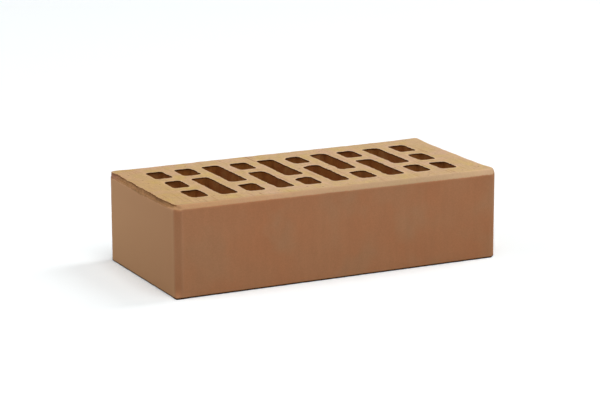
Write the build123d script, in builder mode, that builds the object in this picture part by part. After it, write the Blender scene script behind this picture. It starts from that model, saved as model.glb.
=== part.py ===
from build123d import *
import os

# Perforated clay facing brick, lying on its lower bed.
#
# The brick is one piece. A clay column is pushed through a die, along what is here +Z. The die forms the four
# smooth sides, the chamfered upright corners and the cores. A wire cuts the column across into bricks, the rim
# of the upper bed is rolled in, and they are fired. The rim of the lower bed stays as the wire cut it.
# The origin is the centre of the lower bed. +X runs along the length and +Z points up, along the cores.

# Outside of the brick, millimetres
length = 250.0
width = 120.0
height = 65.0
corner_chamfer = 4.0  # the four upright corners
bed_chamfer = 3.0  # the rim of the upper bed

# Clay left standing around and between the cores, millimetres
end_wall = 21.3
side_wall = 18.5
column_web = 8.6  # between neighbours along the length
row_web = 10.0  # between neighbours across the width
core_corner_radius = 3.0

# The core grid
column_count = 10
row_count = 3
slot_rows = 2  # rows that one long slot takes up

# The cores fill what the walls and webs leave
core_width = (length - 2 * end_wall - (column_count - 1) * column_web) / column_count
core_length = (width - 2 * side_wall - (row_count - 1) * row_web) / row_count
column_pitch = core_width + column_web
row_pitch = core_length + row_web

# A slot joins neighbouring rows, and the last row of its column keeps a short core
slot_length = slot_rows * core_length + (slot_rows - 1) * row_web
slot_offset = (row_count - slot_rows) * row_pitch / 2
last_row_offset = (row_count - 1) * row_pitch / 2

# The first and last columns hold short cores only. In the columns between them the slots lie in turn at the
# front and at the back, so each side has a slot in every second column.
end_column_count = 2
end_column_spacing = (column_count - 1) * column_pitch
slots_a_side_count = (column_count - end_column_count) // 2
slot_spacing = 2 * column_pitch

os.makedirs("parts", exist_ok=True)

with BuildPart() as brick:
    # The clay column as it leaves the die, cut to one brick
    with BuildSketch() as outline:
        Rectangle(length, width)
        chamfer(outline.vertices(), corner_chamfer)
    extrude(amount=height)

    # The rim of the upper bed
    upper_bed = brick.faces().sort_by(Axis.Z)[-1]
    chamfer(upper_bed.edges(), bed_chamfer)

    # The cores, right through from bed to bed
    with BuildSketch() as core_mouths:
        with GridLocations(end_column_spacing, row_pitch, end_column_count, row_count):
            RectangleRounded(core_width, core_length, core_corner_radius)
        for side in (-1, 1):  # front, back
            with Locations((side * column_pitch / 2, side * slot_offset)):
                with GridLocations(slot_spacing, 0, slots_a_side_count, 1):
                    RectangleRounded(core_width, slot_length, core_corner_radius)
            with Locations((side * column_pitch / 2, -side * last_row_offset)):
                with GridLocations(slot_spacing, 0, slots_a_side_count, 1):
                    RectangleRounded(core_width, core_length, core_corner_radius)
    extrude(amount=height, mode=Mode.SUBTRACT)

brick.part.label = "brick"
export_step(brick.part, "parts/brick.step")
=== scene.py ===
"""Looks of a perforated clay facing brick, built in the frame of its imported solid.

The brick is one closed mesh. A skin is carried round the outside, from the upper bed over the rim and down
the sides to the lower bed. A sleeve goes through each core, from the bed round its mouth down the wall to the
other bed. Skin and sleeves meet point for point and are welded. Relief is then pressed into the welded
surface: the drag of the cutting wire, the swell of the sides, torn rims, chips and ragged core mouths.

Shapes are worked out in millimetres and handed to Blender in metres.
"""

import logging
import math
from collections.abc import Mapping, Sequence
from dataclasses import dataclass
from enum import Enum

import bpy
import numpy as np
from mathutils import Matrix, Vector


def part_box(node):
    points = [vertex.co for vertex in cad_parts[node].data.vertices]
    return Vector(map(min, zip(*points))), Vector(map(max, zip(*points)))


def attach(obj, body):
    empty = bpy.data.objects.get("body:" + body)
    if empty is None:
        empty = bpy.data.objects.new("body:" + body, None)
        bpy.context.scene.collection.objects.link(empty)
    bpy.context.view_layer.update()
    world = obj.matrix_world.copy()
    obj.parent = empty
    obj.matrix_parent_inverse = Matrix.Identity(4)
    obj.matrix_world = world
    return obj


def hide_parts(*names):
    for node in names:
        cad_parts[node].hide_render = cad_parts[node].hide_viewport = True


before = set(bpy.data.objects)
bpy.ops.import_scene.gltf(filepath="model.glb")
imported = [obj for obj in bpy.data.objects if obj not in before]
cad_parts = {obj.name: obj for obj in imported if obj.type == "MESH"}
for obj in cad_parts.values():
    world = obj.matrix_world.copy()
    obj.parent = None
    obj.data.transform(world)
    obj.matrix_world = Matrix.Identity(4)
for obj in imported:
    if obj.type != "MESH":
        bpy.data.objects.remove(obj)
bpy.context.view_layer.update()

log = logging.getLogger("brick_scene")

Socket = bpy.types.NodeSocket
Tree = bpy.types.NodeTree
Span = tuple[float, float]

MM = 0.001  # metres in a millimetre
EIGHTH_TURN = math.pi / 4
DIAGONAL = math.sqrt(0.5)  # share of a 45 degree run that goes each way
TANGENT = math.tan(EIGHTH_TURN / 2)  # of half the turn at an end of a 45 degree cut
CORNER_SHRINK = 2 - math.sqrt(2)  # how much a 45 degree cut's leg loses for each millimetre of inset


def linear(colour: str) -> tuple[float, float, float, float]:
    """Turns an sRGB hex colour into linear red, green, blue and alpha.

    Args:
        colour: Six hex digits after a hash sign.

    Returns:
        The linear colour, with alpha 1.
    """
    coded = [int(colour[place : place + 2], 16) / 255 for place in (1, 3, 5)]
    return (*[c / 12.92 if c <= 0.04045 else ((c + 0.055) / 1.055) ** 2.4 for c in coded], 1.0)


def per_metre(width: float) -> float:
    """Texture scale, in swells a metre, of a pattern whose swells are this many millimetres wide."""
    return 1 / (width * MM)


def ease(value: np.ndarray, low: float, high: float) -> np.ndarray:
    """Smooth step, 3t^2 - 2t^3, from 0 where value is at low to 1 where it is at high."""
    share = np.clip((value - low) / (high - low), 0, 1)
    return share * share * (3 - 2 * share)


class Mark(Enum):
    """What is noted on each point of the brick's mesh, for the relief and for the material."""

    DROP = "drop"  # millimetres below the upper bed or above the lower one, whichever is nearer
    CORE = "core"  # 1 on the walls of the cores
    LIP = "lip"  # 1 on the lips of the cores' mouths, and a part of that on the beds' arrises, where painted highlight goes
    RIM = "rim"  # 1 on the chamfers and the sides, 0 on the beds
    ROLLED = "rolled"  # 1 on the strip of the upper bed along the front rim, where painted shade goes
    HEADER = "header"  # 1 on the short end faces
    WORN = "worn"  # 1 on the upright arrises, where painted highlight goes
    CUT = "cut"  # 1 on the cut upright corners
    TORN = "torn"  # 1 where the rim is torn


class SlotSide(Enum):
    """The side of the brick on which a column has its long slot."""

    FRONT = -1
    BACK = 1


@dataclass(frozen=True)
class Fade:
    """A smooth change between two values of a distance or a share.

    Attributes:
        start: Where it starts.
        end: Where it is complete.
    """

    start: float
    end: float

    def on(self, value: np.ndarray) -> np.ndarray:
        """0 up to the start, 1 from the end on."""
        return ease(value, self.start, self.end)

    def off(self, value: np.ndarray) -> np.ndarray:
        """1 up to the start, 0 from the end on."""
        return 1 - ease(value, self.start, self.end)


@dataclass(frozen=True)
class Swells:
    """A smooth random unevenness.

    Random values from -1 to 1 sit on a box lattice, and between its nodes they are blended along each axis
    with the weight 3t^2 - 2t^3.

    Attributes:
        depth: How far it reaches, in millimetres.
        width: Lattice spacing along x, y and z, in millimetres.
        seed: Start of the random values, so that every run gives the same.
        nodes: How many nodes lie along each axis before the lattice repeats.
    """

    depth: float
    width: tuple[float, float, float]
    seed: int
    nodes: int = 40

    def at(self, points: np.ndarray) -> np.ndarray:
        """Value from -1 to 1 at each point.

        Args:
            points: Points in millimetres, one a row.

        Returns:
            One value for each point.
        """
        lattice = np.random.default_rng(self.seed).uniform(-1, 1, (self.nodes,) * 3)
        place = points / np.asarray(self.width)
        cell = np.floor(place).astype(int)
        share = ease(place - cell, 0, 1)
        value = np.zeros(len(points))
        for corner in np.ndindex(2, 2, 2):
            weight = np.where(corner, share, 1 - share).prod(axis=1)
            node = (cell + corner) % self.nodes
            value += weight * lattice[tuple(node.T)]
        return value

    def swing(self, points: np.ndarray) -> np.ndarray:
        """Distance from the untouched surface at each point, either way."""
        return self.depth * self.at(points)

    def sunk(self, points: np.ndarray) -> np.ndarray:
        """Depth below the untouched surface at each point, from 0 to the full depth."""
        return self.depth * (1 + self.at(points)) / 2


@dataclass(frozen=True)
class Outline:
    """A rectangle whose corners are cut at 45 degrees, with both ends of each cut rounded.

    Seen from a side's middle, the path goes straight, turns 45 degrees on an arc, and runs straight to the
    middle of the cut. Where the cut is no longer than its two roundings, the corner is a plain quarter
    circle.

    Attributes:
        half_x: Half the size along x, in millimetres.
        half_y: Half the size along y.
        leg: How far the cut reaches along each side.
        radius: Radius of the roundings.
        least_radius: What is left of that radius, however far the outline is set in.
    """

    half_x: float
    half_y: float
    leg: float
    radius: float
    least_radius: float = 0.3

    @classmethod
    def rounded(cls, half_x: float, half_y: float, radius: float) -> "Outline":
        """A rectangle with quarter-circle corners of that radius."""
        return cls(half_x, half_y, CORNER_SHRINK * radius, radius)

    def points(self, inset: Sequence[float], count_x: int, count_y: int) -> np.ndarray:
        """Points round the outline, set in from it, counter-clockwise from the front left corner's middle.

        The points of a side are evenly spaced along the path from one corner's middle to the next.

        Args:
            inset: How far each row of points lies in from the outline.
            count_x: Points on each side that runs along x.
            count_y: Points on each side that runs along y.

        Returns:
            An array of rows by points by 2.
        """
        inset = np.asarray(inset, float)[:, None]
        leg = self.leg - CORNER_SHRINK * inset
        radius = np.maximum(self.radius - inset, self.least_radius)
        run = np.maximum(leg * DIAGONAL - radius * TANGENT, 0)
        sides = []
        for half, count in ((self.half_x, count_x), (self.half_y, count_y)):
            straight = half - inset - leg - radius * TANGENT
            reach = straight + radius * EIGHTH_TURN + run
            share = np.linspace(-1, 1, count, endpoint=False)[None, :]
            along, inward = corner_run(np.abs(share) * reach, straight, radius)
            sides.append((np.sign(share) * along, inward))
        (along_x, in_x), (along_y, in_y) = sides
        front = np.stack((along_x, in_x - self.half_y + inset), -1)
        right = np.stack((self.half_x - inset - in_y, along_y), -1)
        return np.concatenate((front, right, -front, -right), axis=1)


def corner_run(
    station: np.ndarray, straight: np.ndarray | float, radius: np.ndarray | float
) -> tuple[np.ndarray, np.ndarray]:
    """Follows a path that goes straight, turns 45 degrees on an arc and runs on straight.

    Args:
        station: Distance gone along the path.
        straight: Length of the first straight.
        radius: Radius of the arc.

    Returns:
        How far the path has gone along the first straight's direction, and how far across it.
    """
    turn = np.clip((station - straight) / radius, 0, EIGHTH_TURN)
    rest = np.maximum(station - straight - radius * EIGHTH_TURN, 0)
    along = np.minimum(station, straight) + radius * np.sin(turn) + rest * DIAGONAL
    across = radius * (1 - np.cos(turn)) + rest * DIAGONAL
    return along, across


def rectangle_points(half_x: float, half_y: float, count_x: int, count_y: int) -> np.ndarray:
    """Evenly spaced points round a rectangle about the origin, counter-clockwise from the front left.

    Args:
        half_x: Half its size along x.
        half_y: Half its size along y.
        count_x: Points on each side that runs along x.
        count_y: Points on each side that runs along y.

    Returns:
        An array of points by 2.
    """
    along_x = np.linspace(-half_x, half_x, count_x, endpoint=False)
    along_y = np.linspace(-half_y, half_y, count_y, endpoint=False)
    front = np.stack((along_x, np.full(count_x, -half_y)), -1)
    right = np.stack((np.full(count_y, half_x), along_y), -1)
    return np.concatenate((front, right, -front, -right))


@dataclass(frozen=True)
class Core:
    """One upright hole through the brick, in the cell of the bed that it stands in, in millimetres."""

    cell_x: float
    cell_y: float
    cell_half_x: float
    cell_half_y: float
    x: float
    y: float
    half_x: float
    half_y: float
    rows: int  # rows of the core grid that it takes up


@dataclass
class Half:
    """One half of a grid of points, from a bed to mid-height.

    Attributes:
        flat: Rows by columns by 2, seen from above, in millimetres.
        away: How far each row lies from the bed.
        row_marks: What is noted on each row.
        push: Rows by columns by 2, as in Patch.
        anchor: Columns by 2, as in Patch.
    """

    flat: np.ndarray
    away: np.ndarray
    row_marks: dict[Mark, np.ndarray]
    push: np.ndarray
    anchor: np.ndarray


@dataclass
class Patch:
    """A grid of points, closed along its columns.

    Attributes:
        points: Rows by columns by 3, in millimetres.
        marks: What is noted on each point, rows by columns.
        push: Rows by columns by 2, the way out of the wall or the rim, and how far a point goes along it.
        anchor: Rows by columns by 2, the place on the wall or the rim that a point moves with.
        opens_inward: Whether the rows go in towards a core and not out towards the sides.
    """

    points: np.ndarray
    marks: dict[Mark, np.ndarray]
    push: np.ndarray
    anchor: np.ndarray
    opens_inward: bool

    def quads(self) -> np.ndarray:
        """Faces of the grid, each between two rows and two columns, turned to face out of the clay.

        Returns:
            The corner numbers of each face.
        """
        rows, columns = self.points.shape[:2]
        number = np.arange(rows * columns).reshape(rows, columns)
        after = np.roll(number, -1, axis=1)
        here, right = number[:-1], after[:-1]
        below, below_right = number[1:], after[1:]
        if self.opens_inward:
            loop = (here, right, below_right, below)
        else:
            loop = (here, below, below_right, right)
        return np.stack(loop, -1).reshape(-1, 4)


@dataclass(frozen=True)
class Chip:
    """A scoop out of an arris: its middle, its radius and its depth, in millimetres."""

    x: float
    y: float
    z: float
    radius: float
    depth: float


@dataclass(frozen=True)
class Spread:
    """A place on the upper bed where clay was dragged out, strongest at its middle.

    Attributes:
        x: Its middle along x, in millimetres.
        y: Its middle along y.
        reach: Distance at which it has faded to about a third.
        amount: How much was dragged there, or taken off where it is negative.
    """

    x: float
    y: float
    reach: float
    amount: float

    def at(self, flat: np.ndarray) -> np.ndarray:
        """Amount at each point seen from above: a bell curve, exp(-d^2 / reach^2), of the distance d."""
        away = ((flat - (self.x, self.y)) ** 2).sum(axis=1)
        return self.amount * np.exp(-away / self.reach**2)


@dataclass
class FacingBrick:
    """The fired brick as the die and the wire form it: its sizes in millimetres, and its mesh."""

    length: float
    width: float
    height: float
    corner_chamfer: float = 4.0
    bed_chamfer: float = 3.0
    corner_round: float = 1.3
    arris_round: float = 1.0
    foot_wear: float = 0.5  # off the plain lower rim
    foot_round: float = 0.3
    end_wall: float = 21.3
    side_wall: float = 18.5
    column_web: float = 8.6
    row_web: float = 10.0
    core_corner: float = 3.0
    lip_round: float = 0.45
    core_drift: Span = (-1.0, -0.3)  # of the whole core pattern, as the die was set
    core_wander: float = 0.25  # of each core, either way
    wander_seed: int = 5
    column_count: int = 10
    row_count: int = 3
    slot_rows: int = 2

    # Where the mesh has its points
    cell_steps_x: int = 24  # along one column's cell
    cell_steps_y: int = 34  # along one row's cell
    mouth_shares: tuple[float, ...] = (0, 0.35, 0.65, 0.88)  # rings from a cell's edge to the mouth
    wall_rows: tuple[float, ...] = (0.95, 1.7, 4.5)  # depths under a mouth
    rim_band: float = 6.0  # width of bed along the rim that follows the outline
    border_steps: int = 6  # from the core cells to that band
    band_shares: tuple[float, ...] = (0, 0.4, 0.75)  # rows from the band's edge to the chamfer
    chamfer_shares: tuple[float, ...] = (0.33, 0.67, 1)  # rows from the side to the chamfer's middle
    bend_rows: int = 3  # round each arris and each mouth's lip
    side_steps: int = 8
    side_crowding: float = 1.5  # power that draws the side's rows towards the arris
    grip_power: int = 3  # of the share gone towards a wall or a rim, by which the bed moves with it
    weld: float = 0.0001  # points that round to the same multiple of this become one

    # Where the marks on the mesh begin and end
    lip_highlight_power: int = 5  # of the share gone towards a mouth, by which the painted highlight of its lip shows on the bed
    rim_start: float = 0.7  # share of the way from the band's edge to the chamfer
    rim_highlight_start: float = 0.5  # share of that way, where the painted highlight on the beds' arrises starts
    rim_highlight_share: float = 0.4  # how strong the painted highlight on the beds' arrises is against the mouths' lips
    rim_highlight_end: Fade = Fade(0.05, 0.3)  # drop, over which that painted highlight fades out
    header_band: float = 1.0  # in from the ends, where the header's mark fades out
    cut_edge: Fade = Fade(0.1, 0.9)  # from the end of a corner's cut
    arris_highlight_width: float = 1.6  # width of the painted highlight band on the upright arrises
    arris_edge: Fade = Fade(0.0, 0.8)  # from the end of a corner's cut
    shade_strip_width: float = 2.7  # of the painted shade strip at its left end
    shade_strip_taper: Fade = Fade(-100, 110)  # along x
    shade_strip_edge: Fade = Fade(-0.4, 0.4)

    @property
    def column_pitch(self) -> float:
        """Distance between the middles of neighbouring columns."""
        return (self.length - 2 * self.end_wall + self.column_web) / self.column_count

    @property
    def row_pitch(self) -> float:
        """Distance between the middles of neighbouring rows."""
        return (self.width - 2 * self.side_wall + self.row_web) / self.row_count

    @property
    def block_half(self) -> np.ndarray:
        """Half the size, along x and y, of the block of all the cores' cells."""
        return np.array([self.column_pitch * self.column_count / 2, self.row_pitch * self.row_count / 2])

    @property
    def outline(self) -> Outline:
        """The brick's outline from above, as the die forms it."""
        return Outline(self.length / 2, self.width / 2, self.corner_chamfer, self.corner_round)

    def core_at(self, column: int, first_row: int, rows: int) -> Core:
        """One core.

        Args:
            column: Column number from the left, from 0.
            first_row: Its front row, from 0.
            rows: How many rows it takes up.

        Returns:
            The core, in its cell.
        """
        x = (column - (self.column_count - 1) / 2) * self.column_pitch
        y = (first_row + (rows - 1) / 2 - (self.row_count - 1) / 2) * self.row_pitch
        own = np.random.default_rng((self.wander_seed, column, first_row))
        shift_x, shift_y = own.uniform(-self.core_wander, self.core_wander, 2)
        return Core(
            cell_x=x,
            cell_y=y,
            cell_half_x=self.column_pitch / 2,
            cell_half_y=rows * self.row_pitch / 2,
            x=x + self.core_drift[0] + shift_x,
            y=y + self.core_drift[1] + shift_y,
            half_x=(self.column_pitch - self.column_web) / 2,
            half_y=(rows * self.row_pitch - self.row_web) / 2,
            rows=rows,
        )

    def cores(self) -> list[Core]:
        """All the cores: short ones in the end columns, and a slot and a short one in each column between.

        Returns:
            The cores, column by column from the left.
        """
        last = self.row_count - 1
        found = []
        for column in range(self.column_count):
            if column in (0, self.column_count - 1):
                found += [self.core_at(column, row, 1) for row in range(self.row_count)]
                continue
            side = SlotSide.FRONT if column % 2 else SlotSide.BACK
            slot_row, short_row = (0, last) if side is SlotSide.FRONT else (last - self.slot_rows + 1, 0)
            found.append(self.core_at(column, slot_row, self.slot_rows))
            found.append(self.core_at(column, short_row, 1))
        return found

    def sleeve(self, core: Core) -> Patch:
        """The bed round one core's mouth, the core's wall and the bed round its other mouth.

        Rings go in from the rectangle of the cell to the mouth, a quarter circle turns them down over the
        lip, and the wall is the core's outline carried down. The lower half is the same.

        Args:
            core: The core.

        Returns:
            The grid.
        """
        counts = (self.cell_steps_x, self.cell_steps_y * core.rows)
        cell = rectangle_points(core.cell_half_x, core.cell_half_y, *counts) + (core.cell_x, core.cell_y)
        turn = np.linspace(0, math.pi / 2, self.bend_rows)
        lip_out = self.lip_round * (1 - np.sin(turn))
        lip_down = self.lip_round * (1 - np.cos(turn))
        wall_down = np.array([*self.wall_rows, self.height / 2])
        down = np.concatenate((lip_down, wall_down))
        outline = Outline.rounded(core.half_x, core.half_y, self.core_corner)
        inset = np.concatenate((-lip_out, np.zeros(len(wall_down))))
        wall = outline.points(inset, *counts) + (core.x, core.y)
        ring = np.array(self.mouth_shares)
        bed = cell * (1 - ring)[:, None, None] + wall[0] * ring[:, None, None]
        flat = np.concatenate((bed, wall))
        away = np.concatenate((np.zeros(len(bed)), down))
        out = outline.points([-1.0], *counts)[0] - outline.points([0.0], *counts)[0]
        grip = np.concatenate((ring**self.grip_power, np.ones(len(wall))))[:, None, None]
        rows = {
            Mark.CORE: np.concatenate((np.zeros(len(bed) + 1), np.ones(len(down) - 1))),
            Mark.LIP: np.concatenate(
                (ring**self.lip_highlight_power, np.ones(len(lip_down)), np.zeros(len(wall_down)))
            ),
        }
        half = Half(flat, away, rows, grip * out, wall[-1])
        return self.joined(half, half, opens_inward=True)

    def skin(self) -> Patch:
        """The bed's border, the rim, the sides, the lower rim and the lower border, as one grid.

        Returns:
            The grid.
        """
        upper = self.half_skin(self.bed_chamfer, self.arris_round)
        lower = self.half_skin(self.foot_wear, self.foot_round)
        return self.joined(upper, lower, opens_inward=False)

    def half_skin(self, chamfer: float, arris: float) -> Half:
        """One half of the skin.

        The profile starts at the block of core cells, crosses the bed to the rim, turns 45 degrees on an
        arc, runs down the chamfer, turns again and goes along the side to mid-height. It is carried round
        the outline.

        Args:
            chamfer: How far the rim's chamfer reaches along the bed and the side.
            arris: Radius of the arcs at both ends of the chamfer.

        Returns:
            The half.
        """
        counts = (self.cell_steps_x * self.column_count, self.cell_steps_y * self.row_count)
        block = rectangle_points(*self.block_half, *counts)
        arc = arris * EIGHTH_TURN
        tangent = arris * TANGENT
        run = chamfer * DIAGONAL - tangent
        bend = np.linspace(0, arc, self.bend_rows)
        on_bed = self.rim_band - chamfer - tangent
        on_band = on_bed * np.array(self.band_shares)
        stations = np.concatenate((on_band, on_bed + bend, [on_bed + arc + run / 2]))
        along, down = corner_run(stations, on_bed, arris)
        up_side = self.height / 2 - chamfer - tangent
        from_arris = np.linspace(1, 0, self.side_steps, endpoint=False) ** self.side_crowding
        on_chamfer = up_side + arc + run * np.array(self.chamfer_shares)
        stations = np.concatenate((up_side * (1 - from_arris), up_side + bend, on_chamfer))[::-1]
        up, across = corner_run(stations, up_side, arris)
        inset = np.concatenate((self.rim_band - along, across))
        edge = self.outline.points(inset, *counts)
        chamfer_middle = edge[len(along)]
        share = np.linspace(0, 1, self.border_steps, endpoint=False)[:, None, None]
        border = block * (1 - share) + edge[0] * share
        away = np.concatenate((np.zeros(len(border)), down, self.height / 2 - up))
        out = self.outline.points([0.0], *counts)[0] - self.outline.points([1.0], *counts)[0]
        out = out / np.linalg.norm(out, axis=1, keepdims=True)
        outward = np.concatenate((np.zeros(len(border)), self.rim_band - inset))
        # painted highlight on the beds' arrises
        rim_highlight_mask = ease(outward, on_bed * self.rim_highlight_start, on_bed) * self.rim_highlight_end.off(away)
        rows = {
            Mark.RIM: ease(outward, on_bed * self.rim_start, on_bed),
            Mark.LIP: self.rim_highlight_share * rim_highlight_mask,
        }
        crossed = np.concatenate((share.ravel(), np.ones(len(edge))))
        push = (crossed**self.grip_power)[:, None, None] * out
        return Half(np.concatenate((border, edge)), away, rows, push, chamfer_middle)

    def joined(self, upper: Half, lower: Half, opens_inward: bool) -> Patch:
        """Joins two halves at mid-height, with the lower one turned over.

        Args:
            upper: The half from the upper bed down.
            lower: The half from the lower bed up.
            opens_inward: As in Patch.

        Returns:
            The patch from the upper bed to the lower one.
        """
        flat = np.concatenate((upper.flat, lower.flat[-2::-1]))
        push = np.concatenate((upper.push, lower.push[-2::-1]))
        level = np.concatenate((self.height - upper.away, lower.away[-2::-1]))
        level = np.broadcast_to(level[:, None, None], (*flat.shape[:2], 1))
        marks = {}
        for mark in (Mark.CORE, Mark.LIP, Mark.RIM):
            above, below = (half.row_marks.get(mark, np.zeros(len(half.away))) for half in (upper, lower))
            values = np.concatenate((above, below[-2::-1]))
            marks[mark] = np.broadcast_to(values[:, None], flat.shape[:2])
        points = np.concatenate((flat, level), axis=2)
        return Patch(points, marks, push, np.broadcast_to(upper.anchor, flat.shape), opens_inward)

    def welded(self) -> "Clay":
        """Skin and sleeves as one closed mesh.

        Points that lie in the same place, to within the weld, become one.

        Returns:
            The mesh before any relief.
        """
        patches = [self.skin(), *[self.sleeve(core) for core in self.cores()]]
        starts = np.cumsum([0, *[patch.points.size // 3 for patch in patches]])
        points = np.concatenate([patch.points.reshape(-1, 3) for patch in patches])
        push = np.concatenate([patch.push.reshape(-1, 2) for patch in patches])
        anchor = np.concatenate([patch.anchor.reshape(-1, 2) for patch in patches])
        quads = np.concatenate([patch.quads() + start for patch, start in zip(patches, starts)])
        keys = np.round(points / self.weld).astype(np.int64)
        _, first, merged = np.unique(keys, axis=0, return_index=True, return_inverse=True)
        marks = {}
        for mark in patches[0].marks:
            marks[mark] = np.concatenate([patch.marks[mark].ravel() for patch in patches])[first]
        points = points[first]
        from_cut = self.from_corner(points).sum(axis=1) - self.corner_chamfer
        marks[Mark.DROP] = np.minimum(points[:, 2], self.height - points[:, 2])
        marks[Mark.HEADER] = ease(np.abs(points[:, 0]), self.length / 2 - self.header_band, self.length / 2)
        # where the painted highlight on the upright arrises goes
        marks[Mark.WORN] = self.arris_nearness(points) * marks[Mark.RIM]
        # where the painted shade strip along the front rim goes
        marks[Mark.ROLLED] = self.front_shade_strip(points) * (1 - marks[Mark.CORE])
        marks[Mark.CUT] = self.cut_edge.off(from_cut)
        marks[Mark.TORN] = np.zeros(len(points))
        return Clay(points, merged.ravel()[quads], marks, push[first], anchor[first])

    def from_corner(self, points: np.ndarray) -> np.ndarray:
        """How far points lie in from the planes of the nearest header and the nearest stretcher."""
        return (self.length / 2, self.width / 2) - np.abs(points[:, :2])

    def arris_nearness(self, points: np.ndarray) -> np.ndarray:
        """Nearness of points on the faces to the upright arrises, where their painted highlight goes.

        It is a bell curve of the distance, seen from above, to the nearer end of the cut at the nearest
        corner. On the cut itself it is nothing.

        Args:
            points: Points in millimetres, one a row.

        Returns:
            From 0 away from the arrises to 1 on them.
        """
        from_corner = self.from_corner(points)
        ends = np.array([[self.corner_chamfer, 0], [0, self.corner_chamfer]])
        away = np.linalg.norm(from_corner[:, None, :] - ends, axis=2).min(axis=1)
        on_face = self.arris_edge.on(from_corner.sum(axis=1) - self.corner_chamfer)
        return on_face * np.exp(-((away / self.arris_highlight_width) ** 2))

    def front_shade_strip(self, points: np.ndarray) -> np.ndarray:
        """Strip of the upper bed along the front rim, where shade is painted.

        Its width narrows smoothly from left to right.

        Args:
            points: Points in millimetres, one a row.

        Returns:
            From 0 behind the strip to 1 on it and in front of it, and 0 on the lower half.
        """
        from_front = points[:, 1] + self.width / 2
        reach = self.bed_chamfer + self.shade_strip_width * self.shade_strip_taper.off(points[:, 0])
        return self.shade_strip_edge.off(from_front - reach) * (points[:, 2] > self.height / 2)


@dataclass
class Clay:
    """A closed mesh of the brick.

    Attributes:
        points: Points in millimetres, one a row.
        quads: Corner numbers of the faces.
        marks: What is noted on each point.
        push: As in Patch, for each point.
        anchor: As in Patch, for each point.
    """

    points: np.ndarray
    quads: np.ndarray
    marks: dict[Mark, np.ndarray]
    push: np.ndarray
    anchor: np.ndarray

    @property
    def beside(self) -> np.ndarray:
        """The place on the wall or the rim that each point moves with, at the point's own height."""
        return np.column_stack((self.anchor, self.points[:, 2]))

    def normals(self) -> np.ndarray:
        """Unit normals at the points: the sum of the crossed diagonals of the faces that meet there.

        Returns:
            One normal a row.
        """
        corner = self.points[self.quads]
        face = np.cross(corner[:, 2] - corner[:, 0], corner[:, 3] - corner[:, 1])
        shared = self.quads.ravel()
        sums = [np.bincount(shared, np.repeat(face[:, axis], 4), len(self.points)) for axis in range(3)]
        total = np.stack(sums, -1)
        return total / np.linalg.norm(total, axis=1, keepdims=True)


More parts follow.
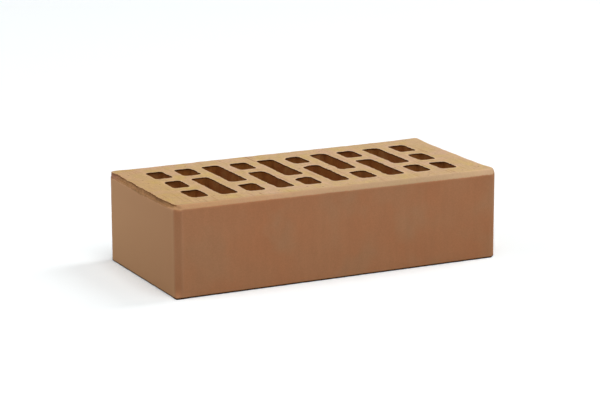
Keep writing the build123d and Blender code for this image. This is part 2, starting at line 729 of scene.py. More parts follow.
@dataclass(frozen=True)
class ClayRelief:
    """What firing, the die and the cutting wire leave on the surface, in millimetres.

    A fade is measured in drop, the distance from the nearer bed, where its comment says nothing else.
    """

    brick: FacingBrick

    # The beds, the sides and the rims
    wire_cut: tuple[Swells, ...] = (
        Swells(0.20, (22, 22, 22), 11),
        Swells(0.14, (3.2, 9.0, 3.2), 12),  # dragged along y by the wire
        Swells(0.10, (1.6, 2.6, 1.6), 13),
    )
    die_formed: tuple[Swells, ...] = (
        Swells(0.20, (80, 80, 90), 21),
        Swells(0.035, (9, 9, 45), 22),  # drawn along z by the die
    )
    arris: Swells = Swells(0.20, (3.0, 3.0, 3.0), 51)
    bed_slope: Fade = Fade(0.8, 0.98)  # upright share of the normal, from the rims to the beds
    side_start: Fade = Fade(2.0, 4.0)
    rim_end: Fade = Fade(2.6, 3.6)
    chips: tuple[Chip, ...] = (
        Chip(-121.6, -58.6, 63.0, 2.0, 0.7),
        Chip(-123.6, -50.0, 63.4, 2.4, 0.6),
    )

    # The cores
    core_drawn: Swells = Swells(0.30, (11, 11, 300), 31)
    mouth: tuple[Swells, ...] = (
        Swells(0.45, (2.1, 2.1, 40), 41),
        Swells(0.40, (6.5, 6.5, 40), 42),
    )
    mouth_end: Fade = Fade(0.4, 0.95)
    under_lip: float = 0.4  # how far the wall falls back right under the lip
    under_lip_end: Fade = Fade(1.7, 4.5)
    burrs: tuple[Spread, ...] = (
        Spread(5.0, 39.5, 2.6, 2.2),  # column 6, back core
        Spread(5.0, 9.5, 2.4, 1.6),  # column 6, slot
        Spread(-17.5, -22.0, 2.4, 1.8),  # column 5, front core
        Spread(-104.0, 8.5, 3.0, 1.2),  # column 1, middle core
    )
    burr_end: Fade = Fade(0.4, 1.7)

    # The upper chamfer, as shares of it that were not cut, and how it sags
    back_uncut: float = 0.45
    left_uncut: float = 0.40
    right_uncut: float = 0.15
    most_uncut: float = 0.93  # it is nowhere closed wholly
    uncut: tuple[Spread, ...] = (
        Spread(-124, 48, 9, -0.40),
        Spread(-122, 60, 8, 1.40),
        Spread(122, 57, 14, 0.70),
        Spread(126, -53, 7, 0.80),
    )
    uneven: Swells = Swells(0.18, (5.0, 5.0, 60), 60)
    rim_sag: float = 0.9  # how much deeper the chamfer reaches at the right end
    sag_start: float = -80  # along x
    sag_depth: float = 3  # chamfers below the bed, where the sag has faded out on the side

    # Clay dragged over two of the cut corners
    foot_drag: Fade = Fade(0.8, 3.0)  # up from the front left corner's foot
    head_drag: Fade = Fade(2.0, 8.0)  # down from the back right corner's head
    head_share: float = 0.7  # of the cut that is closed there
    drag_spread: float = 2.5  # how many times the cut's size it spreads over the bed

    # The torn rim of the left end
    burr: Swells = Swells(1.2, (3.0, 1.9, 60), 61)
    overhang: Spread = Spread(-122, -28, 14, 1.1)  # where the burr hangs out furthest
    groove: Swells = Swells(0.5, (60, 3.6, 60), 62)
    crumbs: Swells = Swells(0.8, (1.5, 1.9, 0.9), 63)
    tear_start: Fade = Fade(-2.0, -0.3)  # outward, from the chamfer's upper edge
    tear_front: Fade = Fade(52, 60)  # forward, where the tear dies out
    tear_reach: float = 3.6  # how far down it goes
    tear_sag: float = 1.0  # how much further it goes near its middle
    tear_middle: float = -2.0  # along y
    tear_half: float = 33  # along y, where that has faded to about a third
    tear_rise: float = 1.9  # how much less far it goes at the front
    tear_taper: Fade = Fade(40, 58)  # forward
    lip_end: Fade = Fade(0.1, 0.5)
    lip_crumbs: float = 0.45  # share of the crumbs that the dragged edge itself has, so that it stays whole
    crumbs_start: Fade = Fade(0.0, 0.25)
    crumbs_end: Fade = Fade(0.7, 1.0)  # share of the reach
    groove_start: Fade = Fade(0.1, 0.3)
    groove_end: Fade = Fade(2.5, 3.4)
    raw_start: Fade = Fade(0.05, 0.3)
    raw_end: Fade = Fade(0.8, 1.2)  # share of the reach

    def press(self, clay: Clay) -> Clay:
        """Moves the points in from the untouched surface.

        Each kind of surface is told from its normal and its marks, and is sunk along the normal by the sum
        of its swells. Core walls and rims then move level, with the bed beside them. The chamfer sags, two
        corners are dragged, one rim is torn, and the chips are scooped out last.

        Args:
            clay: The mesh before any relief.

        Returns:
            The mesh with relief and with its torn places marked.
        """
        points, normals = clay.points, clay.normals()
        drop, core = clay.marks[Mark.DROP], clay.marks[Mark.CORE]
        skin = 1 - core
        on_bed = self.bed_slope.on(np.abs(normals[:, 2]))
        on_side = self.side_start.on(drop) * skin
        on_rim = skin * (1 - on_bed) * self.rim_end.off(drop)
        depth = on_bed * sum(layer.sunk(points) for layer in self.wire_cut)
        depth += on_side * sum(layer.sunk(points) for layer in self.die_formed)
        depth += on_rim * self.arris.sunk(points)
        moved = points - normals * depth[:, None]
        by_core = (np.abs(clay.anchor) < self.brick.block_half).all(axis=1)
        level_move = np.where(by_core, self.wall_swell(clay), self.rim_swell(clay))
        moved[:, :2] += clay.push * level_move[:, None]
        moved[:, 2] -= skin * self.rim_drop(points)
        moved[:, :2] += self.corner_drag(moved)
        torn = self.tear(clay, moved, normals)
        for chip in self.chips:
            away = np.linalg.norm(points - (chip.x, chip.y, chip.z), axis=1)
            scoop = np.clip(1 - (away / chip.radius) ** 2, 0, 1)
            moved -= normals * (chip.depth * scoop)[:, None]
        return Clay(moved, clay.quads, {**clay.marks, Mark.TORN: torn}, clay.push, clay.anchor)

    def upper(self, points: np.ndarray) -> np.ndarray:
        """1 on the upper half of the brick, 0 on the lower half, with a smooth millimetre between."""
        return ease(points[:, 2], self.brick.height / 2, self.brick.height / 2 + 1)

    def wall_swell(self, clay: Clay) -> np.ndarray:
        """How far a core's wall stands back from its true place, or forward where it is negative.

        It is the sum of the drawn swell, the ragged mouth and the fall under the lip, less the burrs that
        hang over the upper mouths.

        Args:
            clay: The mesh before any relief.

        Returns:
            Millimetres for each point.
        """
        drop, core = clay.marks[Mark.DROP], clay.marks[Mark.CORE]
        swell = self.core_drawn.swing(clay.beside)
        swell += self.mouth_end.off(drop) * sum(layer.swing(clay.beside) for layer in self.mouth)
        swell += core * self.under_lip * self.mouth_end.on(drop) * self.under_lip_end.off(drop)
        hang = self.upper(clay.points) * self.burr_end.off(drop)
        return swell - hang * sum(burr.at(clay.anchor) for burr in self.burrs)

    def rim_swell(self, clay: Clay) -> np.ndarray:
        """How far the upper rim stands out of the chamfer, where the chamfer wasn't cut to its full depth.

        A point of the chamfer goes out by a share of its distance from the side. The share is larger along
        the back, along both ends and round some corners.

        Args:
            clay: The mesh before any relief.

        Returns:
            Millimetres for each point.
        """
        back = np.clip(clay.push[:, 1], 0, 1) ** 2
        left = np.clip(-clay.push[:, 0], 0, 1) ** 2
        right = np.clip(clay.push[:, 0], 0, 1) ** 2
        share = self.back_uncut * back + self.left_uncut * left + self.right_uncut * right
        share += (back + left + right) * self.uneven.swing(clay.beside)
        share = np.clip(share + sum(spot.at(clay.anchor) for spot in self.uncut), 0, self.most_uncut)
        from_side = np.clip(self.brick.bed_chamfer - clay.marks[Mark.DROP], 0, None)
        return self.upper(clay.points) * share * from_side

    def rim_drop(self, points: np.ndarray) -> np.ndarray:
        """How far points near the upper rim sink, so that the chamfer gets deeper from left to right.

        It grows evenly down the chamfer and fades out again over the side below it.

        Args:
            points: Points in millimetres, one a row.

        Returns:
            Millimetres for each point.
        """
        chamfer = self.brick.bed_chamfer
        drop = self.brick.height - points[:, 2]
        down = np.clip(drop / chamfer, 0, 1) * Fade(chamfer, self.sag_depth * chamfer).off(drop)
        return self.rim_sag * ease(points[:, 0], self.sag_start, self.brick.length / 2) * down

    def corner_drag(self, points: np.ndarray) -> np.ndarray:
        """Clay that the wire dragged over two cut corners, at the front left foot and the back right head.

        A point of the cut goes out along the diagonal by its distance from the nearer side's plane, so the
        cut closes to a sharp corner. That fades out with height and over the bed.

        Args:
            points: Points in millimetres, one a row.

        Returns:
            How far each point goes along x and y.
        """
        cut = self.brick.corner_chamfer
        from_sides = self.brick.from_corner(points)
        out = np.clip(from_sides.min(axis=1), 0, cut / 2)
        out *= Fade(cut, self.drag_spread * cut).off(from_sides.sum(axis=1))
        front_left = (points[:, :2] < 0).all(axis=1) * self.foot_drag.off(points[:, 2])
        back_right = (points[:, :2] > 0).all(axis=1) * self.head_drag.off(self.brick.height - points[:, 2])
        return (out * (front_left + self.head_share * back_right))[:, None] * np.sign(points[:, :2])

    def tear(self, clay: Clay, moved: np.ndarray, normals: np.ndarray) -> np.ndarray:
        """Tears the upper rim of the left end, where the wire left the clay.

        The bed's edge is dragged out over the chamfer as a ragged burr, no further than the end face. The
        chamfer under it is torn in by a groove and by crumbs, down to a reach that is largest near the
        middle.

        Args:
            clay: The mesh before any relief.
            moved: Its points so far, which are moved on.
            normals: Its unit normals.

        Returns:
            How torn each point is, from 0 to 1.
        """
        brick, points, drop = self.brick, clay.points, clay.marks[Mark.DROP]
        outward, forward = -points[:, 0], -points[:, 1]
        chamfer_edge = brick.length / 2 - brick.bed_chamfer
        near_end = self.tear_start.on(outward - chamfer_edge) * (1 - clay.marks[Mark.CORE])
        near_end *= self.upper(points) * self.tear_front.off(forward)
        middle = np.exp(-(((forward + self.tear_middle) / self.tear_half) ** 2))
        reach = self.tear_reach + self.tear_sag * middle - self.tear_rise * self.tear_taper.on(forward)
        edge = near_end * self.lip_end.off(drop)
        face = near_end * self.groove_start.on(drop) * self.groove_end.off(drop)
        whole = self.lip_crumbs + (1 - self.lip_crumbs) * self.crumbs_start.on(drop)
        crumbled = near_end * self.crumbs_end.off(drop / reach) * whole
        moved[:, 0] -= edge * (self.burr.sunk(points) + self.overhang.at(points[:, :2]))
        moved[:, 0] = np.maximum(moved[:, 0], -brick.length / 2)
        moved -= normals * (face * self.groove.sunk(points) + crumbled * self.crumbs.sunk(points))[:, None]
        return near_end * self.raw_start.on(drop) * self.raw_end.off(drop / reach)


# The shader nodes that are used most, and the numbers of a Mix node's sockets
MIX = "ShaderNodeMix"
MATH = "ShaderNodeMath"
RANGE = "ShaderNodeMapRange"
NOISE = "ShaderNodeTexNoise"
SHARE = 0
UNDER_LEVEL, OVER_LEVEL = 2, 3
UNDER, OVER = 6, 7  # colours
COLOUR = 2  # output that gives the mixed colour
BLEND = {"data_type": "RGBA"}
TINT = {"data_type": "RGBA", "blend_type": "MULTIPLY"}
NOISE_SPAN = (0.3, 0.7)  # nearly all values of a noise texture


def add_node(
    tree: Tree,
    kind: str,
    sockets: Mapping[str | int, object] | Sequence[object] = (),
    output: str | int | None = 0,
    **settings: object,
) -> Socket | None:
    """Adds a node to a tree.

    Args:
        tree: The node tree.
        kind: The node's type name.
        sockets: For each input, the value it holds or the output socket that feeds it, by the input's name or
            number, or in the order of the inputs.
        output: Name or number of the output that is wanted, or None for a node that has none.
        settings: The node's own settings.

    Returns:
        That output of the node.
    """
    node = tree.nodes.new(kind)
    for name, value in settings.items():
        setattr(node, name, value)
    inputs = sockets.items() if isinstance(sockets, Mapping) else enumerate(sockets)
    for key, value in inputs:
        if isinstance(value, Socket):
            tree.links.new(value, node.inputs[key])
        else:
            node.inputs[key].default_value = value
    return None if output is None else node.outputs[output]


def empty_tree(owner: bpy.types.Material | bpy.types.World) -> Tree:
    """Gives a material or a world a node tree with nothing in it.

    Args:
        owner: The material or the world.

    Returns:
        The tree.
    """
    owner.use_nodes = True
    owner.node_tree.nodes.clear()
    return owner.node_tree


@dataclass(frozen=True)
class ClayFinish:
    """How one kind of surface on the fired clay looks.

    Attributes:
        tone: Common colour, sRGB hex.
        warm: Redder colour that it drifts to.
        pale: Paler or yellower colour that it drifts to.
        cloud: Width of the drifts, in millimetres.
        mottle: Width of the blotches.
        mottle_share: How much the blotches darken and lighten it.
        drawn: How many times longer the blotches are along x, y and z.
        grain: Width of the sand grains.
        grain_share: How much the grains darken and lighten it.
        speck: Spacing of the specks.
        speck_share: How dark the specks are.
        relief: Height of the grain, in millimetres.
    """

    tone: str
    warm: str
    pale: str
    cloud: float
    mottle: float
    mottle_share: float
    drawn: tuple[float, float, float]
    grain: float
    grain_share: float
    speck: float
    speck_share: float
    relief: float


# Clay pressed smooth by the die, fired: an even matt brown with soft upright drifts and hardly any grain
DIE_SKIN = ClayFinish(
    tone="#C38A63",
    warm="#C4865E",
    pale="#C08C66",
    cloud=40,
    mottle=5,
    mottle_share=0.03,
    drawn=(1, 1, 5),
    grain=0.9,
    grain_share=0.04,
    speck=14,
    speck_share=0.0,
    relief=0.02,
)
HEADER_NEAR_TONE = "#CA9971"  # the same skin on the short ends, a little yellower
HEADER_FAR_TONE = "#D6A67C"  # and paler towards the back
ARRIS_HIGHLIGHT_TONE = "#CFA27E"  # painted highlight along the upright arrises
LOW_SHADE_TINT = "#F6F5F2"  # painted shade on the sides, darker towards their foot
CUT_SHADE_TINT = "#F6F6F6"  # painted shade on the cut upright corners, a little darker than the faces beside them
CONTACT_SHADOW_TINT = "#6A5C50"  # painted contact shadow: a dark line where the brick stands
FRONT_CONTACT_SHADOW_TINT = "#3C322C"  # and darker painted contact shadow along the front

# Clay cut through by the wire, fired: a paler, yellower open grain with fine drag lines, specks and sand
WIRE_CUT = ClayFinish(
    tone="#BE9F76",
    warm="#C29F81",
    pale="#C0A26D",
    cloud=18,
    mottle=2.4,
    mottle_share=0.07,
    drawn=(1, 2, 1),
    grain=0.9,
    grain_share=0.10,
    speck=7,
    speck_share=0.6,
    relief=0.06,
)
SPECK_TONE = "#6E4A30"
BED_END_TINT = "#F7F3E3"  # the left end of the bed is a little darker
DRAG_TINT = "#F0E6DE"  # thin lines that the wire dragged along y
CRACK_TINT = "#C8AE9C"  # a hair crack in the bed, from the back rim to a slot's corner
LIP_HIGHLIGHT_TONE = "#DAB595"  # painted highlight on the lips of the mouths and on the beds' arrises
CHAMFER_TONE_AND_SHADE = "#BBA07D"  # the chamfers: a pinker tone than the bed, partly painted shade
CHAMFER_LIT_END_TONE = "#D9B491"  # painted light: the chamfers paler at their right end
FRONT_STRIP_SHADE_TINT = "#EFEEEE"  # painted shade on the strip of the bed along the front chamfer
TORN_DARK = "#916643"  # raw clay of the torn rim
TORN_PALE = "#C09264"
TORN_RED = "#A4765A"  # towards the back corner
CREVICE_SHADE_TINT = "#C4B6A6"  # painted shade: a broken dark line under the dragged edge

# Clay drawn over the die's core bars, fired in little air: a dark brown, rough with paler grit
CORE_WALL = ClayFinish(
    tone="#955D2A",
    warm="#8F5327",
    pale="#9A6637",
    cloud=18,
    mottle=2.6,
    mottle_share=0.06,
    drawn=(1, 2, 1),
    grain=1.2,
    grain_share=0.14,
    speck=6,
    speck_share=0.4,
    relief=0.08,
)
UNDER_LIP_SHADE_TINT = "#6A5A50"  # painted shade on the wall right under the lip


@dataclass(frozen=True)
class ClaySpot:
    """What the material knows of the spot that it colours, as sockets of its tree.

    Attributes:
        tree: The tree.
        place: Object coordinates, in metres.
        along: Place along x, in millimetres.
        across: Place along y.
        level: Height above the lower bed.
        mark: What is noted on the mesh.
        ragged: Fine noise.
        wander: The same noise as millimetres either way, which breaks up the borders of the finishes.
        fall: The mark's drop with the wander added.
    """

    tree: Tree
    place: Socket
    along: Socket
    across: Socket
    level: Socket
    mark: dict[Mark, Socket]
    ragged: Socket
    wander: Socket
    fall: Socket

    @classmethod
    def read(cls, tree: Tree, ragged_width: float = 1.8, wander_reach: float = 0.25) -> "ClaySpot":
        """Adds the nodes that read the spot.

        Args:
            tree: The material's tree.
            ragged_width: Width of the fine noise, in millimetres.
            wander_reach: How far the wander goes either way.

        Returns:
            The sockets.
        """
        place = add_node(tree, "ShaderNodeTexCoord", output="Object")
        scaled = add_node(tree, "ShaderNodeVectorMath", {0: place, "Scale": 1 / MM}, operation="SCALE")
        axes = add_node(tree, "ShaderNodeSeparateXYZ", [scaled]).node.outputs
        mark = {m: add_node(tree, "ShaderNodeAttribute", output="Fac", attribute_name=m.value) for m in Mark}
        ragged = add_node(tree, NOISE, {"Vector": place, "Scale": per_metre(ragged_width), "Detail": 3.0})
        wander = add_node(tree, RANGE, (ragged, *NOISE_SPAN, -wander_reach, wander_reach))
        fall = add_node(tree, MATH, (mark[Mark.DROP], wander), operation="ADD")
        return cls(tree, place, axes["X"], axes["Y"], axes["Z"], mark, ragged, wander, fall)


@dataclass(frozen=True)
class FiredClay:
    """The brick's one material: fired clay with three finishes, blended by the marks on the mesh.

    A span gives the value at which something isn't there yet and the value at which it is full, in
    millimetres where its comment says nothing else.
    """

    roughness: float = 0.92
    gloss: float = 0.12  # of a glazed surface's
    cloud_warm: Span = (0.40, 0.66)  # values of the noise
    cloud_pale: Span = (0.48, 0.70)  # values of the noise
    pale_width: float = 0.6  # of the width of the warm drifts
    pale_shift: tuple[float, float, float] = (0.31, 0.17, 0.23)  # metres, so that the two drifts differ
    speck_edge: Span = (0.14, 0.06)  # shares of the specks' spacing

    header_far: Span = (-50, 60)  # along y
    # how strong the painted highlight on the upright arrises is
    arris_highlight_share: float = 0.3
    low: Span = (45, 0)  # height, over which the sides' painted shade grows towards the foot
    foot: Span = (1.3, 0.8)  # height of the painted contact shadow
    contact_shadow_front: Span = (-56, -57)  # along y, where the painted contact shadow darkens along the front

    drag_width: float = 1.8
    drag_length: float = 20  # times the width
    drag_line: Span = (0.60, 0.72)  # values of the noise
    crack_x: float = -18.9
    crack_bend: float = 1.5  # times the wander
    crack_edge: Span = (0.6, 0.15)  # from the crack's middle
    crack_behind: Span = (36, 44)  # along y
    # how strong the painted highlight on the lips is
    lip_highlight_share: float = 0.5
    # how much of the chamfers' tone, partly painted shade, lies on the rims
    chamfer_tone_share: float = 0.7
    chamfer_light_end: Span = (65, 120)  # along x, over which the chamfers' painted light grows to the right
    bed_end: Span = (-50, -125)  # along x
    below_chamfer: Span = (2.7, 3.0)  # fall
    lower_half: Span = (35, 30)  # height
    chamfer_ends: Span = (-125, 100)  # along x
    chamfer_end_shares: Span = (0.55, 0.05)  # of the sides' colour on the chamfer there

    torn_edge: Span = (0.35, 0.65)  # value of the mark
    torn_corner: Span = (38, 50)  # along y
    crevice: Span = (1.1, 0.7)  # fall, over which the painted shade under the dragged edge grows
    crevice_width: float = 4.5  # of its breaks
    crevice_break: Span = (0.42, 0.55)  # values of the noise
    under_lip: Span = (1.2, 0.6)  # fall, over which the painted shade under the lip fades
    core_edge: Span = (-0.1, 0.25)  # fall

    def finish(self, spot: ClaySpot, finish: ClayFinish) -> tuple[Socket, Socket]:
        """Colour and height of one finish.

        Args:
            spot: What is known of the spot.
            finish: The finish.

        Returns:
            The colour and the height of the grain in metres.
        """
        tree, place = spot.tree, spot.place
        shifted = add_node(tree, "ShaderNodeMapping", {"Vector": place, "Location": self.pale_shift})
        colour = linear(finish.tone)
        for vector, width, span, tone in (
            (place, finish.cloud, self.cloud_warm, finish.warm),
            (shifted, finish.cloud * self.pale_width, self.cloud_pale, finish.pale),
        ):
            cloud = add_node(tree, NOISE, {"Vector": vector, "Scale": per_metre(width), "Detail": 2.0})
            drift = add_node(tree, RANGE, (cloud, *span))
            colour = add_node(tree, MIX, {SHARE: drift, UNDER: colour, OVER: linear(tone)}, COLOUR, **BLEND)
        stretch = tuple(1 / times for times in finish.drawn)
        drawn = add_node(tree, "ShaderNodeMapping", {"Vector": place, "Scale": stretch})
        mottle = add_node(tree, NOISE, {"Vector": drawn, "Scale": per_metre(finish.mottle), "Detail": 3.0})
        grain = add_node(tree, NOISE, {"Vector": place, "Scale": per_metre(finish.grain), "Detail": 2.0})
        shades = [
            add_node(tree, RANGE, (pattern, *NOISE_SPAN, 1 - share, 1 + share))
            for pattern, share in ((mottle, finish.mottle_share), (grain, finish.grain_share))
        ]
        shade = add_node(tree, MATH, shades, operation="MULTIPLY")
        colour = add_node(tree, "ShaderNodeVectorMath", {0: colour, "Scale": shade}, operation="SCALE")
        specks = add_node(tree, "ShaderNodeTexVoronoi", {"Vector": place, "Scale": per_metre(finish.speck)})
        speck = add_node(tree, RANGE, (specks, *self.speck_edge, 0.0, finish.speck_share))
        colour = add_node(tree, MIX, {SHARE: speck, UNDER: colour, OVER: linear(SPECK_TONE)}, COLOUR, **BLEND)
        height = add_node(tree, MATH, (mottle, grain), operation="ADD")
        return colour, add_node(tree, MATH, (height, finish.relief * MM), operation="MULTIPLY")

    def sides(self, spot: ClaySpot) -> tuple[Socket, Socket]:
        """Colour and height of the four sides, with yellower ends, painted highlight on the upright arrises,
        and painted shade on the corner cuts and towards the foot.

        Args:
            spot: What is known of the spot.

        Returns:
            The colour and the height in metres.
        """
        tree, mark = spot.tree, spot.mark
        colour, rise = self.finish(spot, DIE_SKIN)
        far = add_node(tree, RANGE, (spot.across, *self.header_far))
        tones = {SHARE: far, UNDER: linear(HEADER_NEAR_TONE), OVER: linear(HEADER_FAR_TONE)}
        header = add_node(tree, MIX, tones, COLOUR, **BLEND)
        # painted highlight on the upright arrises
        worn = add_node(tree, MATH, (mark[Mark.WORN], self.arris_highlight_share), operation="MULTIPLY")
        # painted shade, growing towards the foot
        low = add_node(tree, RANGE, (spot.level, *self.low))
        for share, over, mode in (
            (mark[Mark.HEADER], header, BLEND),
            (worn, linear(ARRIS_HIGHLIGHT_TONE), BLEND),
            (low, linear(LOW_SHADE_TINT), TINT),
            # painted shade on the cut corners
            (mark[Mark.CUT], linear(CUT_SHADE_TINT), TINT),
        ):
            colour = add_node(tree, MIX, {SHARE: share, UNDER: colour, OVER: over}, COLOUR, **mode)
        return colour, rise

    def crack(self, spot: ClaySpot) -> Socket:
        """Where the hair crack is: a thin line along y on the upper bed that wanders, behind a slot.

        Args:
            spot: What is known of the spot.

        Returns:
            1 in the crack and 0 elsewhere.
        """
        tree = spot.tree
        aside = add_node(tree, MATH, (spot.along, self.crack_x), operation="SUBTRACT")
        bent = add_node(tree, MATH, (spot.wander, self.crack_bend, aside), operation="MULTIPLY_ADD")
        away = add_node(tree, MATH, (bent,), operation="ABSOLUTE")
        share = add_node(tree, RANGE, (away, *self.crack_edge))
        behind = add_node(tree, RANGE, (spot.across, *self.crack_behind))
        upper = add_node(tree, RANGE, (spot.level, *self.lower_half[::-1]))
        for other in (behind, upper):
            share = add_node(tree, MATH, (share, other), operation="MULTIPLY")
        return share

    def beds(self, spot: ClaySpot) -> tuple[Socket, Socket]:
        """Colour and height of the beds and the chamfers, with drag lines, the crack, painted highlight on
        the lips, and the chamfers' tone with painted shade and light.

        Args:
            spot: What is known of the spot.

        Returns:
            The colour and the height in metres.
        """
        tree, mark = spot.tree, spot.mark
        colour, rise = self.finish(spot, WIRE_CUT)
        stretch = (1.0, 1 / self.drag_length, 1.0)
        dragged = add_node(tree, "ShaderNodeMapping", {"Vector": spot.place, "Scale": stretch})
        lines = add_node(tree, NOISE, {"Vector": dragged, "Scale": per_metre(self.drag_width), "Detail": 1.0})
        line = add_node(tree, RANGE, (lines, *self.drag_line))
        # painted highlight on the lips and the beds' arrises
        lip = add_node(tree, MATH, (mark[Mark.LIP], self.lip_highlight_share), operation="MULTIPLY")
        # the chamfers' pinker tone, partly painted shade
        rolled = add_node(tree, MATH, (mark[Mark.RIM], self.chamfer_tone_share), operation="MULTIPLY")
        # painted light, paler towards the right end
        right = add_node(tree, RANGE, (spot.along, *self.chamfer_light_end))
        tones = {SHARE: right, UNDER: linear(CHAMFER_TONE_AND_SHADE), OVER: linear(CHAMFER_LIT_END_TONE)}
        pressed = add_node(tree, MIX, tones, COLOUR, **BLEND)
        # painted shade on the strip along the front rim
        strip = add_node(tree, MATH, (mark[Mark.ROLLED], mark[Mark.RIM]), operation="SUBTRACT")
        end = add_node(tree, RANGE, (spot.along, *self.bed_end))
        for share, over, mode in (
            (line, linear(DRAG_TINT), TINT),
            (self.crack(spot), linear(CRACK_TINT), TINT),
            (lip, linear(LIP_HIGHLIGHT_TONE), BLEND),
            (rolled, pressed, BLEND),
            (strip, linear(FRONT_STRIP_SHADE_TINT), TINT),
            (end, linear(BED_END_TINT), TINT),
        ):
            colour = add_node(tree, MIX, {SHARE: share, UNDER: colour, OVER: over}, COLOUR, **mode)
        return colour, rise

    def side_share(self, spot: ClaySpot) -> Socket:
        """Where the sides' finish lies: below the upper chamfer, and in part on it, more towards the left.

        On the ends and on the lower rim it goes right up to the bed.

        Args:
            spot: What is known of the spot.

        Returns:
            From 0 on the beds to 1 on the sides.
        """
        tree, mark = spot.tree, spot.mark
        below = add_node(tree, RANGE, (spot.fall, *self.below_chamfer))
        share = add_node(tree, RANGE, (spot.along, *self.chamfer_ends, *self.chamfer_end_shares))
        lower = add_node(tree, RANGE, (spot.level, *self.lower_half))
        for other in (lower, mark[Mark.HEADER]):
            share = add_node(tree, MATH, (share, other), operation="MAXIMUM")
        on_rim = add_node(tree, MATH, (mark[Mark.RIM], share), operation="MULTIPLY")
        share = add_node(tree, MATH, (below, on_rim), operation="MAXIMUM")
        return add_node(tree, MATH, (share, mark[Mark.RIM]), operation="MULTIPLY")

    def torn(self, spot: ClaySpot) -> tuple[Socket, Socket]:
        """Raw clay of the torn rim, redder at the back corner, with a broken line of painted shade under its
        edge.

        Args:
            spot: What is known of the spot.

        Returns:
            Where it is, and its colour.
        """
        tree = spot.tree
        ragged_mark = add_node(tree, MATH, (spot.wander, spot.mark[Mark.TORN]), operation="ADD")
        share = add_node(tree, RANGE, (ragged_mark, *self.torn_edge))
        corner = add_node(tree, RANGE, (spot.across, *self.torn_corner))
        breaks = {"Vector": spot.place, "Scale": per_metre(self.crevice_width), "Detail": 1.0}
        broken = add_node(tree, RANGE, (add_node(tree, NOISE, breaks), *self.crevice_break))
        before = add_node(tree, MATH, (1.0, corner), operation="SUBTRACT")
        # painted shade under the dragged edge
        crevice = add_node(tree, RANGE, (spot.fall, *self.crevice))
        for other in (broken, before):
            crevice = add_node(tree, MATH, (crevice, other), operation="MULTIPLY")
        colour = linear(TORN_DARK)
        for part, tone, mode in (
            (spot.ragged, TORN_PALE, BLEND),
            (corner, TORN_RED, BLEND),
            (crevice, CREVICE_SHADE_TINT, TINT),
        ):
            colour = add_node(tree, MIX, {SHARE: part, UNDER: colour, OVER: linear(tone)}, COLOUR, **mode)
        return share, colour

    def contact_shadow_line(self, spot: ClaySpot) -> tuple[Socket, Socket]:
        """Painted contact shadow: a dark line along the foot of the sides, darker along the front.

        Args:
            spot: What is known of the spot.

        Returns:
            Where it is, and its tint.
        """
        tree = spot.tree
        foot = add_node(tree, RANGE, (spot.level, *self.foot))
        share = add_node(tree, MATH, (foot, spot.mark[Mark.RIM]), operation="MULTIPLY")
        front = add_node(tree, RANGE, (spot.across, *self.contact_shadow_front))
        tints = {SHARE: front, UNDER: linear(CONTACT_SHADOW_TINT), OVER: linear(FRONT_CONTACT_SHADOW_TINT)}
        return share, add_node(tree, MIX, tints, COLOUR, **BLEND)

    def core_walls(self, spot: ClaySpot) -> tuple[Socket, Socket, Socket]:
        """Walls of the cores, with painted shade right under the lip.

        Args:
            spot: What is known of the spot.

        Returns:
            Where they are, their colour and their height in metres.
        """
        tree = spot.tree
        colour, rise = self.finish(spot, CORE_WALL)
        # painted shade right under the lip
        under = add_node(tree, RANGE, (spot.fall, *self.under_lip))
        under_lip_shade = {SHARE: under, UNDER: colour, OVER: linear(UNDER_LIP_SHADE_TINT)}
        colour = add_node(tree, MIX, under_lip_shade, COLOUR, **TINT)
        inside = add_node(tree, RANGE, (spot.fall, *self.core_edge))
        share = add_node(tree, MATH, (inside, spot.mark[Mark.CORE]), operation="MULTIPLY")
        return share, colour, rise

    def build(self) -> bpy.types.Material:
        """Makes the material.

        The beds' finish lies under all the others. The sides' finish, the torn rim, the painted contact
        shadow along the foot and the cores' finish go over it in that order.

        Returns:
            The material.
        """
        material = bpy.data.materials.new("fired_clay")
        tree = empty_tree(material)
        spot = ClaySpot.read(tree)
        colour, rise = self.beds(spot)
        side, side_rise = self.sides(spot)
        side_share = self.side_share(spot)
        core_share, core, core_rise = self.core_walls(spot)
        for share, over, mode in (
            (side_share, side, BLEND),
            (*self.torn(spot), BLEND),
            (*self.contact_shadow_line(spot), TINT),
            (core_share, core, BLEND),
        ):
            colour = add_node(tree, MIX, {SHARE: share, UNDER: colour, OVER: over}, COLOUR, **mode)
        for share, over in ((side_share, side_rise), (core_share, core_rise)):
            levels = {SHARE: share, UNDER_LEVEL: rise, OVER_LEVEL: over}
            rise = add_node(tree, MIX, levels, data_type="FLOAT")
        bump = add_node(tree, "ShaderNodeBump", {"Height": rise, "Distance": 1.0, "Strength": 1.0})
        clay = {
            "Base Color": colour,
            "Roughness": self.roughness,
            "Specular IOR Level": self.gloss,
            "Normal": bump,
        }
        shader = add_node(tree, "ShaderNodeBsdfPrincipled", clay)
        add_node(tree, "ShaderNodeOutputMaterial", {"Surface": shader}, None)
        return material


def mesh_object(
    name: str, points: np.ndarray, quads: np.ndarray, material: bpy.types.Material
) -> bpy.types.Object:
    """Makes a smooth-shaded mesh object at the origin.

    Args:
        name: Name of the object and of its mesh.
        points: Points in metres.
        quads: Corner numbers of its faces.
        material: Its material.

    Returns:
        The object, linked into the scene.
    """
    mesh = bpy.data.meshes.new(name)
    mesh.vertices.add(len(points))
    mesh.vertices.foreach_set("co", points.astype(np.float32).ravel())
    mesh.loops.add(quads.size)
    mesh.loops.foreach_set("vertex_index", quads.astype(np.int32).ravel())
    mesh.polygons.add(len(quads))
    mesh.polygons.foreach_set("loop_start", np.arange(0, quads.size, 4, dtype=np.int32))
    mesh.polygons.foreach_set("use_smooth", np.ones(len(quads), bool))
    mesh.update(calc_edges=True)
    mesh.validate()
    mesh.materials.append(material)
    made = bpy.data.objects.new(name, mesh)
    bpy.context.scene.collection.objects.link(made)
    return made


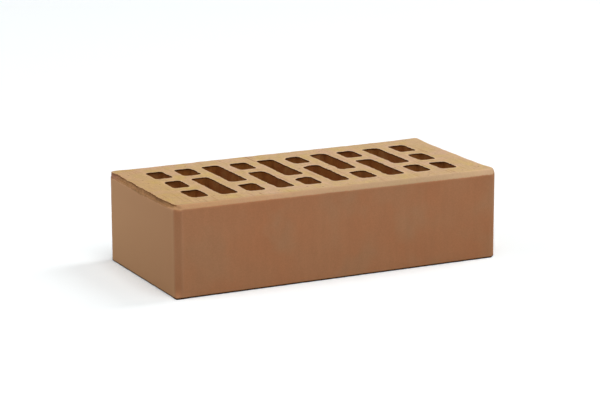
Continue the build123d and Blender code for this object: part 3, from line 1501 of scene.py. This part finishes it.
@dataclass
class BrickPiece:
    """The brick as it is shown: the mesh with its relief and its marks, dressed in fired clay."""

    brick: FacingBrick
    node: str = "brick"
    body: str = "root"
    slot: str = "fired_clay"

    def build(self) -> bpy.types.Object:
        """Makes the piece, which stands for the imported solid.

        Returns:
            The piece.
        """
        clay = ClayRelief(self.brick).press(self.brick.welded())
        piece = mesh_object("perforated_brick", clay.points * MM, clay.quads, FiredClay().build())
        for mark, values in clay.marks.items():
            layer = piece.data.attributes.new(mark.value, "FLOAT", "POINT")
            layer.data.foreach_set("value", values.astype(np.float32))
        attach(piece, self.body)
        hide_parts(self.node)
        return piece


def direction(azimuth: float, elevation: float) -> Vector:
    """Unit vector from the brick towards a place round it.

    Args:
        azimuth: Degrees round the brick, 0 in front and 90 to the right.
        elevation: Degrees above the floor.

    Returns:
        The vector.
    """
    turn, rise = math.radians(azimuth), math.radians(elevation)
    return Vector((math.sin(turn) * math.cos(rise), -math.cos(turn) * math.cos(rise), math.sin(rise)))


@dataclass(frozen=True)
class Softbox:
    """A soft studio lamp that faces the brick.

    Attributes:
        name: What it is.
        azimuth: Degrees round the brick, 0 in front and 90 to the right.
        elevation: Degrees above the floor.
        distance: Metres from the brick.
        width: Metres across.
        height: Metres from its lower edge to its upper one.
        share: Light that it throws square on a surface at the brick, where 1 shows a colour as it is written.
    """

    name: str
    azimuth: float
    elevation: float
    distance: float
    width: float
    height: float
    share: float

    def build(self) -> bpy.types.Object:
        """Makes the lamp. A lamp's power is its share times the square of pi times its distance.

        Returns:
            The lamp.
        """
        lamp = bpy.data.lights.new(self.name, "AREA")
        lamp.shape = "RECTANGLE"
        lamp.size = self.width
        lamp.size_y = self.height
        lamp.energy = self.share * (math.pi * self.distance) ** 2
        made = bpy.data.objects.new(self.name, lamp)
        back = direction(self.azimuth, self.elevation)
        made.location = back * self.distance
        made.rotation_mode = "QUATERNION"
        made.rotation_quaternion = back.to_track_quat("Z", "Y")
        bpy.context.scene.collection.objects.link(made)
        return made


def looked_at(tree: Tree) -> Socket:
    """Tells rays that look at a surface, straight or by reflection, from rays that carry light off it.

    Args:
        tree: The node tree of the surface's material or of the world.

    Returns:
        1 for camera, glossy and transmission rays, and 0 for the rest.
    """
    seen = add_node(tree, "ShaderNodeLightPath", output="Is Camera Ray")
    rays = seen.node.outputs
    for kind in ("Is Glossy Ray", "Is Transmission Ray"):
        seen = add_node(tree, MATH, (seen, rays[kind]), operation="MAXIMUM")
    return seen


@dataclass
class Studio:
    """Plain white floor, soft lamps and an even sky, in metres."""

    floor_half: float = 8.0
    floor_drop: float = 0.00005  # under the brick, so that the two don't lie in one plane
    floor_tone: str = "#EFF3F4"
    floor_throw: float = 0.42  # of the light that falls on it, what it throws back on the brick
    floor_lift: float = 0.11  # added for what looks straight at the floor, so that it shows white
    sky: float = 0.14  # strength of the light that it throws on the brick
    lamps: tuple[Softbox, ...] = (
        Softbox("overhead", -10, 70, 6.0, 3.4, 4.0, 0.61),
        Softbox("right_strip", 95, 50, 4.5, 1.2, 2.4, 0.34),
        Softbox("front_right_fill", 36, 38, 6.0, 4.0, 4.0, 0.13),
        Softbox("left_fill", -112, 36, 6.0, 5.0, 4.0, 0.28),
    )

    def floor(self) -> bpy.types.Object:
        """Makes the floor: a square just under the brick, which keeps the shadow.

        Returns:
            The floor.
        """
        # Matt white paper: even, without gloss, and a little lifted for what looks at it
        material = bpy.data.materials.new("white_floor")
        tree = empty_tree(material)
        seen = looked_at(tree)
        lift = add_node(tree, MATH, (seen, self.floor_lift), operation="MULTIPLY")
        thrown = (self.floor_throw, self.floor_throw, self.floor_throw, 1.0)
        tones = {SHARE: seen, UNDER: thrown, OVER: linear(self.floor_tone)}
        tone = add_node(tree, MIX, tones, COLOUR, **BLEND)
        paper = add_node(tree, "ShaderNodeBsdfDiffuse", {"Color": tone})
        glow = add_node(tree, "ShaderNodeEmission", {"Strength": lift})
        both = add_node(tree, "ShaderNodeAddShader", (paper, glow))
        add_node(tree, "ShaderNodeOutputMaterial", {"Surface": both}, None)
        flat = rectangle_points(self.floor_half, self.floor_half, 1, 1)
        points = np.concatenate((flat, np.full((4, 1), -self.floor_drop)), axis=1)
        made = mesh_object("floor", points, np.array([[0, 1, 2, 3]]), material)
        return made

    def world(self) -> None:
        """Makes the sky: even and white, at full strength where it is looked at."""
        world = bpy.data.worlds.new("studio_sky")
        tree = empty_tree(world)
        strength = add_node(tree, RANGE, {"Value": looked_at(tree), "To Min": self.sky, "To Max": 1.0})
        sky = add_node(tree, "ShaderNodeBackground", {"Color": (1, 1, 1, 1), "Strength": strength})
        add_node(tree, "ShaderNodeOutputWorld", {"Surface": sky}, None)
        bpy.context.scene.world = world

    def build(self) -> None:
        """Makes the floor, the sky and the lamps."""
        self.floor()
        self.world()
        for lamp in self.lamps:
            lamp.build()


@dataclass(frozen=True)
class PhotoCamera:
    """The photograph's viewpoint.

    Attributes:
        azimuth: Degrees round the brick, 0 in front.
        elevation: Degrees above the floor.
        roll: Degrees that the picture is turned.
        distance: Metres from the brick's middle.
        right: Metres that the brick's middle stands right of the picture's.
        up: Metres that it stands above the picture's.
        focal: Focal length in millimetres.
        sensor: Width of the sensor in millimetres.
    """

    azimuth: float = -26.173
    elevation: float = 13.803
    roll: float = -0.202
    distance: float = 1.6958
    right: float = 0.0023
    up: float = -0.0029
    focal: float = 142.4
    sensor: float = 36.0

    def build(self, middle: Vector) -> bpy.types.Object:
        """Makes the camera and gives it to the scene.

        Args:
            middle: The brick's middle, in metres.

        Returns:
            The camera.
        """
        turn, lean = math.radians(self.azimuth), math.radians(self.roll)
        back = direction(self.azimuth, self.elevation)
        level = Vector((math.cos(turn), math.sin(turn), 0))
        above = back.cross(level)
        across = math.cos(lean) * level + math.sin(lean) * above
        above = math.cos(lean) * above - math.sin(lean) * level
        lens = bpy.data.cameras.new("photo_camera")
        lens.lens = self.focal
        lens.sensor_width = self.sensor
        made = bpy.data.objects.new("photo_camera", lens)
        made.matrix_world = Matrix((across, above, back)).transposed().to_4x4()
        made.location = middle + self.distance * back - self.right * across - self.up * above
        bpy.context.scene.collection.objects.link(made)
        bpy.context.scene.camera = made
        return made


def main() -> None:
    """Builds the camera, the brick and the studio."""
    logging.basicConfig(level=logging.INFO, format="%(name)s: %(message)s")
    bpy.context.scene.view_settings.view_transform = "Standard"
    low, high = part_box("brick")
    PhotoCamera().build((low + high) / 2)
    length, width, height = (high - low) / MM
    piece = BrickPiece(FacingBrick(length, width, height)).build()
    log.info("%s: %d points, %d faces", piece.name, len(piece.data.vertices), len(piece.data.polygons))
    Studio().build()


if __name__ == "__main__":
    main()
